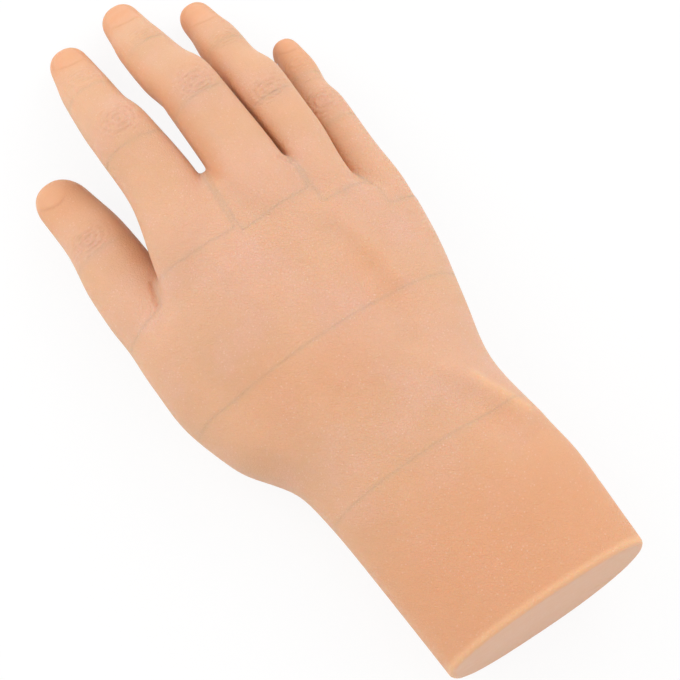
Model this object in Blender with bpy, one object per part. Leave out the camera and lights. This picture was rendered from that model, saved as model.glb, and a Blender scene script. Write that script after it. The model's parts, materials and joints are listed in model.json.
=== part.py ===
"""Posable silicone hand: soft skin sleeves over a hinged armature.

Metres and degrees, +Z up. The hand lies palm down, fingers along +Y, little finger towards +X,
flat wrist cut facing -Y. The middle of the underside of its box is the world origin.
"""
import math

import bmesh
import bpy
from mathutils import Matrix, Vector

# Clearances
GAP = 0.0003
FOLD_MARGIN = 2.0

# Hinge ranges, negative straightens a digit and positive curls it
KNUCKLE_RANGE = (-8.0, 32.0)
MIDDLE_RANGE = (-18.0, 45.0)
TIP_RANGE = (-10.0, 28.0)
THUMB_KNUCKLE_RANGE = (-6.0, 22.0)
THUMB_TIP_RANGE = (-10.0, 35.0)

# Armature
LINK_HALF_HEIGHT = 0.003
LINK_WIDTH = 0.007
TONGUE_WIDTH = 0.0028
PIN_RADIUS = 0.001
FORK_TAIL = 0.007
ARM_HALF_SIZE = 0.003
TIP_LINK_END = 0.006
HUB_CENTRE = (0.0, 0.083, 0.0245)
HUB_HALF_SIZE = (0.015, 0.012, 0.006)
ROD_RADIUS = 0.004
ROD_START = 0.014
ROD_SEAT_DEPTH = 0.012

# Skin of each finger: lengths between hinges, slopes below level, half sizes at the hinges and between
FINGERS = {
    "index": dict(
        knuckle=(-0.0222, 0.1458, 0.0340), yaw=1.2, roll=0.0, carrier_slope=-9.0,
        base_length=0.0402, middle_length=0.0243, tip_length=0.0195,
        base_slope=4.0, middle_slope=27.0, tip_slope=41.5,
        knuckle_half_width=0.0115, knuckle_half_depth=0.0114,
        base_half_width=0.0104, base_half_depth=0.0096,
        middle_half_width=0.0095, middle_half_depth=0.0088,
        shank_half_width=0.0083, shank_half_depth=0.0077,
        end_half_width=0.0074, end_half_depth=0.0069,
        tip_half_width=0.0068, tip_half_depth=0.0063),
    "middle": dict(
        knuckle=(0.0020, 0.1435, 0.0375), yaw=-1.2, roll=0.0, carrier_slope=-10.0,
        base_length=0.0425, middle_length=0.0268, tip_length=0.0205,
        base_slope=4.0, middle_slope=28.0, tip_slope=45.0,
        knuckle_half_width=0.0112, knuckle_half_depth=0.0115,
        base_half_width=0.0097, base_half_depth=0.0096,
        middle_half_width=0.0094, middle_half_depth=0.0088,
        shank_half_width=0.0085, shank_half_depth=0.0078,
        end_half_width=0.0073, end_half_depth=0.0069,
        tip_half_width=0.0068, tip_half_depth=0.0064),
    "ring": dict(
        knuckle=(0.0196, 0.1378, 0.0335), yaw=0.0, roll=0.0, carrier_slope=-8.0,
        base_length=0.0383, middle_length=0.0245, tip_length=0.0190,
        base_slope=5.0, middle_slope=26.0, tip_slope=41.5,
        knuckle_half_width=0.0100, knuckle_half_depth=0.0108,
        base_half_width=0.0090, base_half_depth=0.0090,
        middle_half_width=0.0088, middle_half_depth=0.0083,
        shank_half_width=0.0078, shank_half_depth=0.0073,
        end_half_width=0.0070, end_half_depth=0.0066,
        tip_half_width=0.0065, tip_half_depth=0.0061),
    "little": dict(
        knuckle=(0.0316, 0.1286, 0.0250), yaw=3.8, roll=0.0, carrier_slope=-3.0,
        base_length=0.0327, middle_length=0.0177, tip_length=0.0145,
        base_slope=6.0, middle_slope=24.0, tip_slope=36.5,
        knuckle_half_width=0.0086, knuckle_half_depth=0.0098,
        base_half_width=0.0074, base_half_depth=0.0080,
        middle_half_width=0.0070, middle_half_depth=0.0072,
        shank_half_width=0.0066, shank_half_depth=0.0065,
        end_half_width=0.0062, end_half_depth=0.0060,
        tip_half_width=0.0057, tip_half_depth=0.0055),
}
THUMB = dict(
    knuckle=(-0.0447, 0.1386, 0.0195), yaw=-2.4, roll=8.0, carrier_slope=4.0,
    base_length=0.0290, tip_length=0.0180, base_slope=9.0, tip_slope=17.0,
    knuckle_half_width=0.0103, knuckle_half_depth=0.0108,
    base_half_width=0.0100, base_half_depth=0.0096,
    end_half_width=0.0099, end_half_depth=0.0092,
    tip_half_width=0.0087, tip_half_depth=0.0080)

# Places across the hand where two neighbouring fingers part
WEB_INDEX_MIDDLE = -0.0106
WEB_MIDDLE_RING = 0.0104
WEB_RING_LITTLE = 0.0264
WEB_HALF_GAP = 0.0004
WEB_OVERCUT = 0.0018
OUTER_FLANK = 0.0160
THUMB_INNER_FLANK = 0.0125

# Wrist and palm sections: side edges, underside, top, widest height, fall to the little finger
PALM_SECTIONS = {
    "wrist_cut": dict(
        along=0.000, radial=-0.0322, ulnar=0.0342, low=0.0000, high=0.0460, belt=0.026, fall=0.000),
    "forearm": dict(
        along=0.030, radial=-0.0335, ulnar=0.0345, low=0.0000, high=0.0460, belt=0.025, fall=0.000),
    "wrist_bone": dict(
        along=0.050, radial=-0.0348, ulnar=0.0318, low=0.0010, high=0.0455, belt=0.025, fall=0.001),
    "waist": dict(
        along=0.068, radial=-0.0365, ulnar=0.0297, low=0.0020, high=0.0450, belt=0.024, fall=0.002),
    "heel": dict(
        along=0.090, radial=-0.0449, ulnar=0.0350, low=0.0005, high=0.0460, belt=0.023, fall=0.005),
    "middle": dict(
        along=0.112, radial=-0.0489, ulnar=0.0408, low=0.0055, high=0.0470, belt=0.024, fall=0.009),
    "upper": dict(
        along=0.128, radial=-0.0449, ulnar=0.0410, low=0.0140, high=0.0476, belt=0.028, fall=0.013),
    "knuckles": dict(
        along=0.152, radial=-0.0345, ulnar=0.0395, low=0.0235, high=0.0450, belt=0.033, fall=0.012),
}
RIM_ROUND = 0.0015
BALL_OF_THUMB = {
    "root": dict(centre=(-0.0215, 0.066, 0.0200), half_width=0.0120, half_depth=0.0150),
    "heel": dict(centre=(-0.0295, 0.078, 0.0190), half_width=0.0155, half_depth=0.0175),
    "fullest": dict(centre=(-0.0340, 0.090, 0.0185), half_width=0.0170, half_depth=0.0172),
    "middle": dict(centre=(-0.0375, 0.106, 0.0185), half_width=0.0170, half_depth=0.0158),
    "upper": dict(centre=(-0.0405, 0.122, 0.0195), half_width=0.0156, half_depth=0.0138),
    "neck": dict(centre=(-0.0435, 0.137, 0.0195), half_width=0.0119, half_depth=0.0112),
    "thumb": dict(centre=(-0.0450, 0.150, 0.0185), half_width=0.0102, half_depth=0.0103),
}

# How full a section is: 2 for an ellipse, squarer above it
KNUCKLE_FULLNESS = 2.8
FINGER_FULLNESS = 2.3
FINGERTIP_FULLNESS = 2.2
BACK_FULLNESS = 2.5
FLANK_FULLNESS = 2.05
PALM_FULLNESS = 2.1
HEEL_FULLNESS = 2.9
BALL_FULLNESS = 2.2

# How far cutting shapes reach past the skin, and the skin past a round root
REACH = 0.0160
FAN_REACH = 0.0208
PALM_REACH = 0.0450
ROOT_ALLOWANCE = 0.0012

# Facets
SKIN_SIDES = 22
PALM_SIDES = 32
ARC_STEP = 15.0
PIN_SIDES = 14
ROD_SIDES = 20
CAP_RINGS = 4
SMOOTH_ANGLE = math.radians(40.0)
SLIVER = 0.00002

# Materials
SILICONE_SKIN = dict(colour=(0.78, 0.46, 0.30, 1.0), roughness=0.50, metallic=0.0)
CORE_NYLON = dict(colour=(0.80, 0.79, 0.75, 1.0), roughness=0.50, metallic=0.0)
LINK_ALUMINIUM = dict(colour=(0.60, 0.61, 0.62, 1.0), roughness=0.35, metallic=1.0)
PIN_STEEL = dict(colour=(0.56, 0.57, 0.58, 1.0), roughness=0.25, metallic=1.0)
ROD_STEEL = dict(colour=(0.56, 0.57, 0.58, 1.0), roughness=0.40, metallic=1.0)


def clear_scene():
    """Start from an empty scene."""
    for thing in list(bpy.data.objects):
        bpy.data.objects.remove(thing)


def make_material(name, colour, roughness, metallic):
    """One plain surface."""
    material = bpy.data.materials.new(name)
    material.use_nodes = True
    shader = material.node_tree.nodes["Principled BSDF"]
    shader.inputs["Base Color"].default_value = colour
    shader.inputs["Roughness"].default_value = roughness
    shader.inputs["Metallic"].default_value = metallic
    material.diffuse_color = colour
    return material


def add_object(name, builder):
    """Turn a built mesh into an object of the scene."""
    bmesh.ops.recalc_face_normals(builder, faces=builder.faces)
    mesh = bpy.data.meshes.new(name)
    builder.to_mesh(mesh)
    builder.free()
    thing = bpy.data.objects.new(name, mesh)
    bpy.context.scene.collection.objects.link(thing)
    return thing


def combine(piece, tool, operation, solver="EXACT"):
    """Cut, join or intersect a piece with a tool, which is used up."""
    step = piece.modifiers.new("step", "BOOLEAN")
    step.operation = operation
    step.solver = solver
    step.object = tool
    graph = bpy.context.evaluated_depsgraph_get()
    result = bpy.data.meshes.new_from_object(piece.evaluated_get(graph))
    piece.modifiers.clear()
    builder = bmesh.new()
    builder.from_mesh(result)
    bmesh.ops.remove_doubles(builder, verts=builder.verts, dist=SLIVER)
    bmesh.ops.dissolve_degenerate(builder, dist=SLIVER, edges=builder.edges)
    builder.to_mesh(result)
    builder.free()
    piece.data = result
    bpy.data.objects.remove(tool)


def prism(name, outline, low, high):
    """Closed outline in the bending plane (y, z), carried across the hinge from low to high."""
    builder = bmesh.new()
    near = [builder.verts.new((low, y, z)) for y, z in outline]
    far = [builder.verts.new((high, y, z)) for y, z in outline]
    builder.faces.new(near)
    builder.faces.new(far)
    for i in range(len(outline)):
        j = (i + 1) % len(outline)
        builder.faces.new((near[i], near[j], far[j], far[i]))
    return add_object(name, builder)


def loft(name, rings, end_point=None):
    """Skin a row of equal rings, closed by a flat cap, or by a point at its far end."""
    builder = bmesh.new()
    rows = [[builder.verts.new(point) for point in ring] for ring in rings]
    count = len(rows[0])
    for first, second in zip(rows, rows[1:]):
        for i in range(count):
            j = (i + 1) % count
            builder.faces.new((first[i], first[j], second[j], second[i]))
    builder.faces.new(rows[0])
    if end_point is None:
        builder.faces.new(rows[-1])
    else:
        tip = builder.verts.new(end_point)
        for i in range(count):
            builder.faces.new((rows[-1][i], rows[-1][(i + 1) % count], tip))
    return add_object(name, builder)


def rod(name, start, end, radius, sides):
    """Round bar between two points."""
    start = Vector(start)
    end = Vector(end)
    turn = (end - start).to_track_quat("Z", "Y").to_matrix().to_4x4()
    place = Matrix.Translation((start + end) / 2) @ turn
    builder = bmesh.new()
    bmesh.ops.create_cone(builder, cap_ends=True, segments=sides, radius1=radius, radius2=radius,
                          depth=(end - start).length, matrix=place)
    return add_object(name, builder)


def block(name, centre, half_size):
    """Upright box."""
    builder = bmesh.new()
    size = Matrix.Diagonal((2 * half_size[0], 2 * half_size[1], 2 * half_size[2], 1.0))
    bmesh.ops.create_cube(builder, size=1.0, matrix=Matrix.Translation(centre) @ size)
    return add_object(name, builder)


def heading(angle):
    """Unit direction in the bending plane, degrees up from straight ahead."""
    return Vector((math.cos(math.radians(angle)), math.sin(math.radians(angle))))


def arc(centre, radius, start, end):
    """Row of points round a centre in the bending plane."""
    steps = max(2, math.ceil(abs(end - start) / ARC_STEP))
    return [centre + radius * heading(start + (end - start) * i / steps) for i in range(steps + 1)]


def squared(value, power):
    """Power that keeps the sign."""
    return math.copysign(abs(value) ** power, value)


def oval(centre, across, up, half_width, half_depth, fullness, sides):
    """Ring of points: an ellipse at fullness 2, squarer above it."""
    power = 2.0 / fullness
    ring = []
    for i in range(sides):
        turn = 2 * math.pi * i / sides
        sideways = half_width * squared(math.cos(turn), power)
        upwards = half_depth * squared(math.sin(turn), power)
        ring.append(Vector(centre) + across * sideways + up * upwards)
    return ring


class Digit:
    """Hinge places, headings and fold lines of one finger or the thumb, in its own bending plane."""

    def __init__(self, name, size, segments, ranges, flanks):
        self.name = name
        self.size = size
        self.segments = segments
        self.ranges = ranges
        self.flanks = flanks
        slopes = [size["carrier_slope"]] + [size[part + "_slope"] for part in segments]
        self.angles = [-slope for slope in slopes]
        self.lengths = [size[part + "_length"] for part in segments]
        self.hinges = [Vector((0.0, 0.0))]
        for angle, length in zip(self.angles[1:], self.lengths):
            self.hinges.append(self.hinges[-1] + length * heading(angle))
        self.end = self.hinges.pop()
        self.stations = ["knuckle", "middle", "end"] if len(segments) == 3 else ["knuckle", "end"]
        self.rounds = [size[station + "_half_depth"] for station in self.stations]
        self.fork_length = self.rounds[0] + FORK_TAIL
        yaw = math.radians(size["yaw"])
        roll = math.radians(size["roll"])
        turn = Matrix.Rotation(-yaw, 4, "Z") @ Matrix.Rotation(-roll, 4, "Y")
        self.frame = Matrix.Translation(size["knuckle"]) @ turn

    def fold_line(self, k):
        """Heading halfway between the two pieces that meet at hinge k."""
        return (self.angles[k] + self.angles[k + 1]) / 2

    def socket(self, k):
        """Back, top and bottom fold of the piece behind hinge k, with room for the whole range."""
        middle = self.fold_line(k)
        straighten, curl = self.ranges[k]
        top = middle + 90.0 - straighten + FOLD_MARGIN
        bottom = middle + 270.0 - curl - FOLD_MARGIN
        return top, bottom, arc(self.hinges[k], self.rounds[k] + GAP, top, bottom)

    def root(self, k):
        """Round root and fold lines of the piece in front of hinge k."""
        middle = self.fold_line(k)
        top = middle + 90.0
        bottom = middle + 270.0
        return top, bottom, arc(self.hinges[k], self.rounds[k], top, bottom)

    def place(self, piece, k):
        """Put a piece's origin on hinge k and turn it into the hand's frame."""
        y, z = self.hinges[k]
        piece.data.transform(Matrix.Translation((0.0, -y, -z)))
        piece.matrix_local = self.frame @ Matrix.Translation((0.0, y, z))

    def skin(self, name):
        """Whole outside of the digit, from behind its knuckle to its tip."""
        size = self.size
        start = self.hinges[0] - (self.rounds[0] + ROOT_ALLOWANCE) * heading(self.angles[0])
        sections = [(start, self.angles[0], "knuckle")]
        waists = ["base", "shank"]
        for k, station in enumerate(self.stations):
            sections.append((self.hinges[k], self.fold_line(k), station))
            if k + 1 < len(self.stations):
                waist = (self.hinges[k] + self.hinges[k + 1]) / 2
                sections.append((waist, self.angles[k + 1], waists[k]))
        sections.append(((self.hinges[-1] + self.end) / 2, self.angles[-1], "tip"))
        across = Vector((1.0, 0.0, 0.0))
        rings = []
        for (y, z), angle, station in sections:
            up = Vector((0.0, *heading(angle + 90.0)))
            fullness = KNUCKLE_FULLNESS if station == "knuckle" else FINGER_FULLNESS
            rings.append(oval((0.0, y, z), across, up, size[station + "_half_width"],
                              size[station + "_half_depth"], fullness, SKIN_SIDES))
        ahead = heading(self.angles[-1])
        up = Vector((0.0, *heading(self.angles[-1] + 90.0)))
        cap = size["tip_half_width"]
        for i in range(CAP_RINGS):
            bend = math.radians(90.0 * i / CAP_RINGS)
            y, z = self.end + cap * math.sin(bend) * ahead
            rings.append(oval((0.0, y, z), across, up, cap * math.cos(bend),
                              size["tip_half_depth"] * math.cos(bend), FINGERTIP_FULLNESS, SKIN_SIDES))
        y, z = self.end + cap * ahead
        return loft(name, rings, end_point=(0.0, y, z))

    def segment_skin(self, k):
        """Sleeve in front of hinge k: round root, socket for the next sleeve, pocket for its link."""
        piece = self.skin(f"{self.name}_{self.segments[k]}_skin")
        top, bottom, round_root = self.root(k)
        outline = [self.hinges[k] + REACH * heading(top)] + round_root
        outline.append(self.hinges[k] + REACH * heading(bottom))
        if k + 1 < len(self.hinges):
            top, bottom, hollow = self.socket(k + 1)
            outline.append(self.hinges[k + 1] + REACH * heading(bottom))
            outline += hollow[::-1]
            outline.append(self.hinges[k + 1] + REACH * heading(top))
        else:
            beyond = self.end + REACH * heading(self.angles[-1])
            outline.append(beyond + REACH * heading(self.angles[-1] - 90.0))
            outline.append(beyond + REACH * heading(self.angles[-1] + 90.0))
        region = prism("region", outline, -self.flanks[0], self.flanks[1])
        combine(piece, region, "INTERSECT")
        half = LINK_WIDTH / 2 + GAP
        combine(piece, prism("pocket", self.link_outline(k, GAP), -half, half), "DIFFERENCE")
        combine(piece, prism("slot", self.swing_outline(k), -half - GAP, half + GAP), "DIFFERENCE")
        return piece

    def link_outline(self, k, spread):
        """Bar with round ends from hinge k to the next hinge, or to its blind end in the tip."""
        angle = self.angles[k + 1]
        start = self.hinges[k]
        last = k + 1 == len(self.hinges)
        stop = self.end - TIP_LINK_END * heading(angle) if last else self.hinges[k + 1]
        radius = LINK_HALF_HEIGHT + spread
        far_end = arc(stop, radius, angle - 90.0, angle + 90.0)
        return far_end + arc(start, radius, angle + 90.0, angle + 270.0)

    def swing_outline(self, k):
        """Fan that the fork behind hinge k needs inside the round root through the whole range."""
        straighten, curl = self.ranges[k]
        back = self.angles[k] + 180.0
        radius = LINK_HALF_HEIGHT + GAP
        low = back + curl + FOLD_MARGIN
        high = back + straighten - FOLD_MARGIN
        hinge = self.hinges[k]
        fan = arc(hinge, radius, low + 90.0, high + 270.0)
        fan.append(hinge + radius * heading(high - 90.0) + REACH * heading(high))
        fan.append(hinge + FAN_REACH * heading((low + high) / 2))
        fan.append(hinge + radius * heading(low + 90.0) + REACH * heading(low))
        return fan

    def pin_hole(self, k, spread):
        """Round bar along hinge k, spread by a clearance for its hole."""
        y, z = self.hinges[k]
        reach = LINK_WIDTH / 2 + spread
        return rod("hole", (-reach, y, z), (reach, y, z), PIN_RADIUS + spread, PIN_SIDES)

    def fork_slot(self, k, angle):
        """Room for the tongue between the ears of a fork at hinge k."""
        reach = LINK_HALF_HEIGHT + 2 * GAP
        ahead = heading(angle)
        up = heading(angle + 90.0)
        hinge = self.hinges[k]
        corners = [hinge - reach * ahead - reach * up, hinge + reach * ahead - reach * up,
                   hinge + reach * ahead + reach * up, hinge - reach * ahead + reach * up]
        half = TONGUE_WIDTH / 2 + GAP
        return prism("slot", corners, -half, half)

    def link(self, k):
        """Bar of the armature with a tongue at its root and a fork for the next link."""
        half = LINK_WIDTH / 2
        angle = self.angles[k + 1]
        piece = prism(f"{self.name}_{self.segments[k]}_link", self.link_outline(k, 0.0), -half, half)
        reach = LINK_HALF_HEIGHT + 2 * GAP
        ahead = heading(angle)
        up = heading(angle + 90.0)
        hinge = self.hinges[k]
        cheek = [hinge - 2 * reach * ahead - reach * up, hinge + reach * ahead - reach * up,
                 hinge + reach * ahead + reach * up, hinge - 2 * reach * ahead + reach * up]
        for low, high in ((TONGUE_WIDTH / 2, LINK_WIDTH), (-LINK_WIDTH, -TONGUE_WIDTH / 2)):
            combine(piece, prism("cheek", cheek, low, high), "DIFFERENCE")
        combine(piece, self.pin_hole(k, GAP), "DIFFERENCE")
        if k + 1 < len(self.hinges):
            combine(piece, self.fork_slot(k + 1, angle), "DIFFERENCE")
            combine(piece, self.pin_hole(k + 1, GAP), "DIFFERENCE")
        return piece

    def pin(self, k, name):
        """Pin that two links turn on."""
        piece = self.pin_hole(k, 0.0)
        piece.name = name
        return piece

    def fork_outline(self, spread):
        """Short fork that carries the digit, behind its knuckle hinge."""
        angle = self.angles[0]
        radius = LINK_HALF_HEIGHT + spread
        stop = self.hinges[0] - (self.fork_length + spread) * heading(angle)
        tail = [stop + radius * heading(angle + 90.0), stop - radius * heading(angle + 90.0)]
        return arc(self.hinges[0], radius, angle - 90.0, angle + 90.0) + tail

    def fork_tail(self):
        """Middle of the fork's back end, in the hand's frame."""
        y, z = -(self.fork_length - ARM_HALF_SIZE) * heading(self.angles[0])
        return self.frame @ Vector((0.0, y, z))

    def palm_cutter(self):
        """Everything in front of the knuckle's fold, taken out of the palm."""
        top, bottom, hollow = self.socket(0)
        outline = [self.hinges[0] + REACH * heading(top)] + hollow
        outline.append(self.hinges[0] + REACH * heading(bottom))
        underside = outline[-1].x
        topside = outline[0].x
        outline.append(Vector((underside, -PALM_REACH)))
        outline.append(Vector((PALM_REACH, -PALM_REACH)))
        outline.append(Vector((PALM_REACH, PALM_REACH)))
        outline.append(Vector((topside, PALM_REACH)))
        cutter = prism("cutter", outline, -self.flanks[0] - WEB_OVERCUT, self.flanks[1] + WEB_OVERCUT)
        cutter.data.transform(self.frame)
        return cutter


def arm(start, end, half):
    """Square bar between two points, in the hand's frame."""
    start = Vector(start)
    end = Vector(end)
    turn = (end - start).to_track_quat("Y", "Z").to_matrix().to_4x4()
    place = Matrix.Translation((start + end) / 2) @ turn
    bar = block("arm", (0.0, 0.0, 0.0), (half, (end - start).length / 2, half))
    bar.data.transform(place)
    return bar


def palm_core_solid(name, digits, spread):
    """Hub with an arm and a fork to each digit, spread by a clearance for its pocket in the skin."""
    half_size = [half + spread for half in HUB_HALF_SIZE]
    core = block(name, HUB_CENTRE, half_size)
    for digit in digits:
        half = LINK_WIDTH / 2 + spread
        fork = prism("fork", digit.fork_outline(spread), -half, half)
        fork.data.transform(digit.frame)
        combine(core, fork, "UNION")
        combine(core, arm(HUB_CENTRE, digit.fork_tail(), ARM_HALF_SIZE + spread), "UNION")
    return core


def palm_ring(section, inset=0.0, ahead=0.0):
    """One cross-section of wrist or palm: sloping to the thumb above its belt, fuller there below it."""
    half_width = (section["ulnar"] - section["radial"]) / 2 - inset
    middle = (section["ulnar"] + section["radial"]) / 2
    above = section["high"] - section["belt"] - inset
    below = section["belt"] - section["low"] - inset
    ring = []
    for i in range(PALM_SIDES):
        turn = 2 * math.pi * i / PALM_SIDES
        if math.cos(turn) < 0:
            fullness = FLANK_FULLNESS if math.sin(turn) > 0 else HEEL_FULLNESS
        else:
            fullness = BACK_FULLNESS if math.sin(turn) > 0 else PALM_FULLNESS
        x = half_width * squared(math.cos(turn), 2.0 / fullness)
        z = squared(math.sin(turn), 2.0 / fullness)
        z *= above if z > 0 else below
        share = max(0.0, x / half_width)
        z -= section["fall"] * share * share
        ring.append(Vector((middle + x, section["along"] + ahead, section["belt"] + z)))
    return ring


def palm_skin_solid(digits):
    """Wrist, palm and ball of the thumb in one skin, cut for the digits and hollowed for the core.

    The exact solver can lose the palm where its sections crowd together, so these steps don't use it.
    """
    cut, *sections = PALM_SECTIONS.values()
    rings = [palm_ring(cut, inset=RIM_ROUND), palm_ring(cut, ahead=RIM_ROUND)]
    rings += [palm_ring(section) for section in sections]
    skin = loft("palm_skin", rings)
    ball_rings = []
    for section in BALL_OF_THUMB.values():
        ball_rings.append(oval(section["centre"], Vector((1.0, 0.0, 0.0)), Vector((0.0, 0.0, 1.0)),
                               section["half_width"], section["half_depth"],
                               BALL_FULLNESS, SKIN_SIDES))
    combine(skin, loft("ball_of_thumb", ball_rings), "UNION", "MANIFOLD")
    for digit in digits:
        combine(skin, digit.palm_cutter(), "DIFFERENCE", "MANIFOLD")
    combine(skin, palm_core_solid("core_pocket", digits, GAP), "DIFFERENCE", "MANIFOLD")
    combine(skin, wrist_rod_solid("rod_pocket", GAP), "DIFFERENCE", "MANIFOLD")
    return skin


def wrist_rod_solid(name, spread):
    """Bar from near the wrist cut into the hub, spread by a clearance for its seat."""
    x, y, z = HUB_CENTRE
    start = ROD_START - spread
    end = y - HUB_HALF_SIZE[1] + ROD_SEAT_DEPTH + spread
    return rod(name, (x, start, z), (x, end, z), ROD_RADIUS + spread, ROD_SIDES)


def finish(piece, material, parent):
    """Give a piece its material, soft shading and place in the hand."""
    piece.data.materials.clear()
    piece.data.materials.append(material)
    piece.data.shade_smooth()
    piece.data.set_sharp_from_angle(angle=SMOOTH_ANGLE)
    piece.parent = parent


def make_digits():
    """Four fingers, each kept between its webs, and the thumb."""
    webs = (WEB_INDEX_MIDDLE, WEB_MIDDLE_RING, WEB_RING_LITTLE)
    digits = []
    for i, (name, size) in enumerate(FINGERS.items()):
        across = size["knuckle"][0]
        radial = across - webs[i - 1] - WEB_HALF_GAP if i > 0 else OUTER_FLANK
        ulnar = webs[i] - across - WEB_HALF_GAP if i < len(webs) else OUTER_FLANK
        ranges = (KNUCKLE_RANGE, MIDDLE_RANGE, TIP_RANGE)
        digits.append(Digit(name, size, ("base", "middle", "tip"), ranges, (radial, ulnar)))
    ranges = (THUMB_KNUCKLE_RANGE, THUMB_TIP_RANGE)
    digits.append(Digit("thumb", THUMB, ("base", "tip"), ranges, (OUTER_FLANK, THUMB_INNER_FLANK)))
    return digits


def centre_on_floor(parent, pieces):
    """Move the whole hand so that the middle of the underside of its box is the world origin."""
    bpy.context.view_layer.update()
    corners = [piece.matrix_world @ vertex.co for piece in pieces for vertex in piece.data.vertices]
    low = Vector([min(corner[i] for corner in corners) for i in range(3)])
    high = Vector([max(corner[i] for corner in corners) for i in range(3)])
    parent.location = (-(low.x + high.x) / 2, -(low.y + high.y) / 2, -low.z)
    bpy.context.view_layer.update()


def main():
    """Build the hand."""
    clear_scene()
    silicone_skin = make_material("silicone_skin", **SILICONE_SKIN)
    core_nylon = make_material("core_nylon", **CORE_NYLON)
    link_aluminium = make_material("link_aluminium", **LINK_ALUMINIUM)
    pin_steel = make_material("pin_steel", **PIN_STEEL)
    rod_steel = make_material("rod_steel", **ROD_STEEL)
    parent = bpy.data.objects.new("hand", None)
    bpy.context.scene.collection.objects.link(parent)
    digits = make_digits()
    pieces = []

    skin = palm_skin_solid(digits)
    core = palm_core_solid("palm_core", digits, 0.0)
    for digit in digits:
        for tool in (digit.fork_slot(0, digit.angles[0]), digit.pin_hole(0, GAP)):
            tool.data.transform(digit.frame)
            combine(core, tool, "DIFFERENCE")
    combine(core, wrist_rod_solid("rod_seat", GAP), "DIFFERENCE")
    wrist_rod = wrist_rod_solid("wrist_rod", 0.0)
    for piece, material in ((skin, silicone_skin), (core, core_nylon), (wrist_rod, rod_steel)):
        finish(piece, material, parent)
        pieces.append(piece)

    for digit in digits:
        pin_names = ("knuckle", "middle", "tip") if len(digit.segments) == 3 else ("knuckle", "tip")
        for k in range(len(digit.segments)):
            made = ((digit.segment_skin(k), silicone_skin), (digit.link(k), link_aluminium),
                    (digit.pin(k, f"{digit.name}_{pin_names[k]}_pin"), pin_steel))
            for piece, material in made:
                digit.place(piece, k)
                finish(piece, material, parent)
                pieces.append(piece)

    centre_on_floor(parent, pieces)


main()
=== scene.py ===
import json
import math

import bpy
import numpy as np
from mathutils import Matrix, Vector
from mathutils.kdtree import KDTree


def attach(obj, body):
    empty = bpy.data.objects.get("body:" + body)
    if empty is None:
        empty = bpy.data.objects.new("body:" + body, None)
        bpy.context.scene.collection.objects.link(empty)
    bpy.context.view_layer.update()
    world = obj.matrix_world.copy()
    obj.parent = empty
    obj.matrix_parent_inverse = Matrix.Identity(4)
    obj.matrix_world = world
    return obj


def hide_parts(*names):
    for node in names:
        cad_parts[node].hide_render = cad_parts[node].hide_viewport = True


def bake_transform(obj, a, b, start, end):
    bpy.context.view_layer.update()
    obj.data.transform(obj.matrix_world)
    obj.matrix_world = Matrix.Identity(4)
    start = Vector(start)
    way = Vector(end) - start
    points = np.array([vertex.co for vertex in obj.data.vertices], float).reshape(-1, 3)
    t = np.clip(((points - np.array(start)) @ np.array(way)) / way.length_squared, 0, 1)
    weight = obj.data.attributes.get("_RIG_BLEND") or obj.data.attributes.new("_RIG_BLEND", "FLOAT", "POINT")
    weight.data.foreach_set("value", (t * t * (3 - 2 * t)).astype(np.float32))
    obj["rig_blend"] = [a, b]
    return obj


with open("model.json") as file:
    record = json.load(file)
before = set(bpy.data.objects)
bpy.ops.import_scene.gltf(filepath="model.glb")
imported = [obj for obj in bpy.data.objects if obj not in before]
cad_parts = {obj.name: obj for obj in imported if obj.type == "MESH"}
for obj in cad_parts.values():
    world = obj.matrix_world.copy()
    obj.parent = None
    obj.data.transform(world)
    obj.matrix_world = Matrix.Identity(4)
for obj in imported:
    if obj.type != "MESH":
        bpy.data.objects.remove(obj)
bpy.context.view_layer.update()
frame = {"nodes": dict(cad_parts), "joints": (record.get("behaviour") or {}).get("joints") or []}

# A posable silicone hand: moulded as one skin, then divided into pieces that follow the hinges.
# Sizes are in mm, with x across the hand, y along it toward the fingers and z up from the floor.
MM = 0.001
AWAY = 100.0

# Clay: grain of the finished skin, faces of the balls it is drawn from, shares of a ball that close its ends
CLAY_GRAIN = 0.44
BLANK_SIDES = 48
BLANK_RINGS = 72
START_SHARE = 0.02
TIP_SHARE = 0.18
FRONT_SHARE = 0.22

# Wrist and palm: place along the hand, side edges, underside, top, widest height, fall to the little finger
WRIST_CUT = -115.3
WRIST_SPARE = 12.0
RIM_ROUND = 1.6
CUT_RINGS = (0.985, 0.90, 0.72)
WRIST_PIECE = -62.0
HEEL_PIECE = -18.0
PALM_SECTIONS = (
    dict(along=-115.3, radial=-23.8, ulnar=41.6, low=0.0, high=46.0, belt=26.0, fall=0.0),
    dict(along=-85.3, radial=-25.8, ulnar=41.9, low=0.0, high=46.0, belt=25.0, fall=0.0),
    dict(along=-65.3, radial=-27.4, ulnar=39.4, low=1.0, high=45.5, belt=25.0, fall=1.0),
    dict(along=-47.3, radial=-30.0, ulnar=37.6, low=2.0, high=45.0, belt=24.0, fall=2.0),
    dict(along=-25.3, radial=-37.5, ulnar=42.4, low=0.5, high=46.0, belt=23.0, fall=5.0),
    dict(along=-3.3, radial=-41.5, ulnar=47.4, low=5.5, high=47.0, belt=24.0, fall=9.0),
    dict(along=12.0, radial=-37.5, ulnar=49.3, low=13.0, high=47.6, belt=28.0, fall=13.0),
)
WEB_LINE = (
    (-40.0, 13.0), (-34.0, 15.0), (-28.0, 26.0), (-16.0, 38.0), (-3.2, 47.4), (9.4, 41.0),
    (17.8, 33.0), (27.0, 27.0), (33.8, 21.0), (40.0, 18.5), (48.0, 13.0))
FRONT_BLUNT = 0.5
FRONT_NARROWING = 0.15
FRONT_DROP = 2.0
BACK_FULLNESS = 2.5
FLANK_FULLNESS = 2.05
HEEL_FULLNESS = 2.9
PALM_FULLNESS = 2.1

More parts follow.
